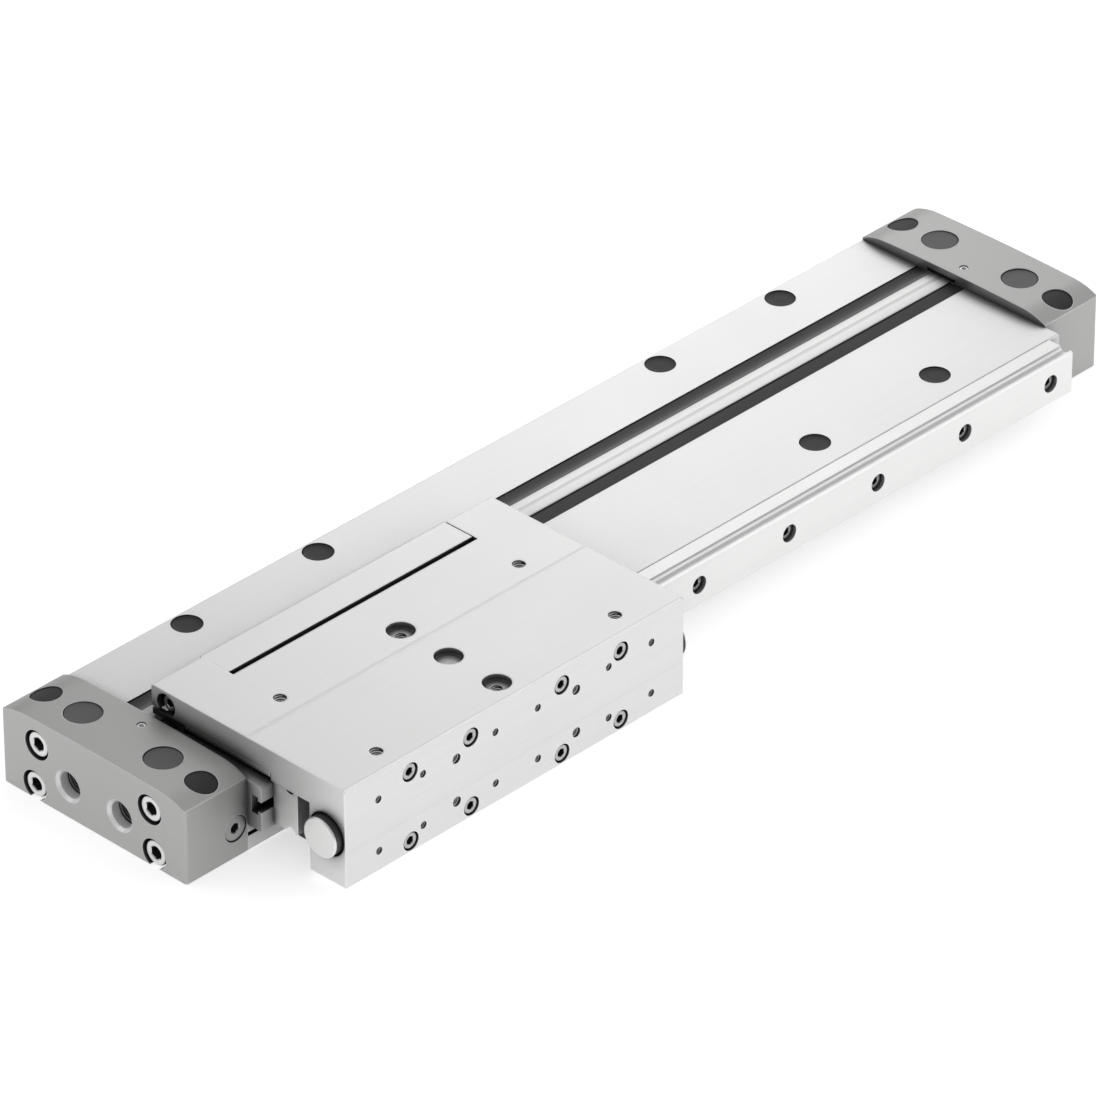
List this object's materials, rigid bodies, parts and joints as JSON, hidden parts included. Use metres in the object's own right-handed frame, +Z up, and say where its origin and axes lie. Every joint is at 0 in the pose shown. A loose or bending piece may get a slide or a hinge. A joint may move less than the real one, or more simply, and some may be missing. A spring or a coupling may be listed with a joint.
{
  "type": "pneumatic linear drive",
  "caption": "Flat rodless pneumatic drive: a slotted barrel between arched end caps, and a carriage on a rail at its side",
  "frame": {"origin": "middle of the bottom face, between the two rows of mounting holes", "axes": "+X along the stroke, away from the cap with the air ports; +Y across, away from the guide rail; +Z up, away from the mounting face"},
  "size_m": [0.4, 0.1147, 0.0363],
  "materials": {
    "light_anodised_aluminium": "fine matt natural anodising",
    "grey_cast_aluminium": "matt grey coating",
    "bright_steel": "bright zinc plating",
    "ground_steel": "ground",
    "black_plastic": "moulded, matt",
    "seal_rubber": "smooth",
    "grey_plug": "moulded, matt",
    "cover_band": "satin",
    "magnet": "plain"
  },
  "bodies": {
    "base": {"barrel": "light_anodised_aluminium", "near_end_cap": "grey_cast_aluminium", "far_end_cap": "grey_cast_aluminium", "near_cap_screws": "bright_steel", "far_cap_screws": "bright_steel", "cap_seals": "seal_rubber", "end_buffers": "seal_rubber", "barrel_hole_covers": "black_plastic", "cap_hole_covers": "black_plastic", "passage_plugs": "grey_plug", "side_port_plugs": "bright_steel", "band_clamps": "bright_steel", "clamp_screws": "bright_steel", "band_strips": "black_plastic", "outer_band": "cover_band", "inner_band": "cover_band", "guide_rail": "ground_steel", "rail_screws": "bright_steel", "rail_nuts": "bright_steel"},
    "carriage": {"carriage_body": "light_anodised_aluminium", "driver": "light_anodised_aluminium", "driver_screws": "bright_steel", "driver_pins": "bright_steel", "piston_yoke": "grey_cast_aluminium", "near_piston": "black_plastic", "far_piston": "black_plastic", "piston_seals": "seal_rubber", "guide_rings": "black_plastic", "piston_magnets": "magnet", "near_bearing_block": "ground_steel", "far_bearing_block": "ground_steel", "block_end_caps": "black_plastic", "block_seals": "seal_rubber", "block_screws": "bright_steel", "stop_pads": "bright_steel", "band_wipers": "black_plastic"}
  },
  "joints": [
    {"name": "carriage_slide", "type": "slide", "parent": "base", "child": "carriage", "axis": [1, 0, 0], "range_m": [0, 0.2], "deforming": ["outer_band", "inner_band"]}
  ]
}
